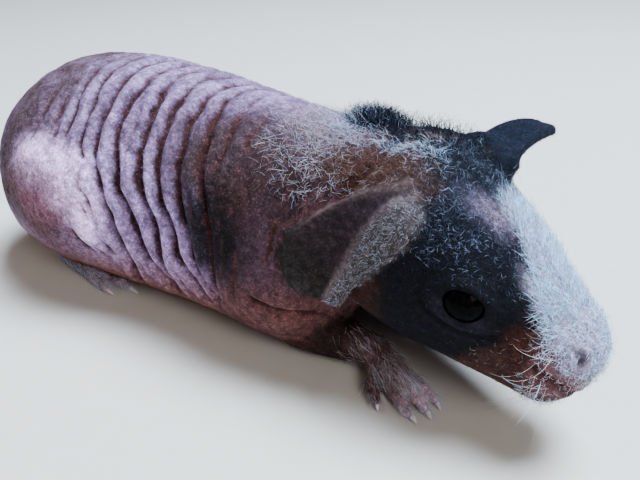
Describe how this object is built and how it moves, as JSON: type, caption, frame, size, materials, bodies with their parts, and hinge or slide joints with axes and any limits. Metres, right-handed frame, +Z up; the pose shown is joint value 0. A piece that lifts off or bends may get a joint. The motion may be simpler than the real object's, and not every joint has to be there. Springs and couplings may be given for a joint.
{
  "type": "hairless guinea pig",
  "caption": "Life-size model of a newborn hairless guinea pig, lying low on its belly, with ringed skin folds, head turned aside, drooping ears and short bent legs.",
  "frame": {"origin": "on the floor, under the middle of the animal's bounding box", "axes": "+X from the rump to the nose, +Y to the animal's left side, +Z up"},
  "size_m": [0.107, 0.0454, 0.0373],
  "materials": {
    "trunk_skin": "bare lilac-pink skin with red-brown fold shadows, grey mottling and fine pale hairs",
    "head_skin": "bare charcoal skin, pink-brown at the cheek, with a white blaze down the nose",
    "ear_skin": "thin dark grey skin with short silvery hairs",
    "paw_skin": "grey-mauve skin with long fine pale hairs",
    "claw_horn": "short pale lilac horn, slightly glossy",
    "eye_black": "wet black, glossy"
  },
  "bodies": {
    "root": {"torso": "trunk_skin", "neck": "trunk_skin", "head": "head_skin", "ear_right": "ear_skin", "eye_right": "eye_black", "foreleg_right": "paw_skin", "forefoot_right": "paw_skin", "hindleg_right": "trunk_skin", "hindfoot_right": "paw_skin", "claw_fore_right_1": "claw_horn", "claw_fore_right_2": "claw_horn", "claw_fore_right_3": "claw_horn", "claw_fore_right_4": "claw_horn", "claw_hind_right_1": "claw_horn", "claw_hind_right_2": "claw_horn", "claw_hind_right_3": "claw_horn", "ear_left": "ear_skin", "eye_left": "eye_black", "foreleg_left": "paw_skin", "forefoot_left": "paw_skin", "hindleg_left": "trunk_skin", "hindfoot_left": "paw_skin", "claw_fore_left_1": "claw_horn", "claw_fore_left_2": "claw_horn", "claw_fore_left_3": "claw_horn", "claw_fore_left_4": "claw_horn", "claw_hind_left_1": "claw_horn", "claw_hind_left_2": "claw_horn", "claw_hind_left_3": "claw_horn"}
  },
  "joints": []
}
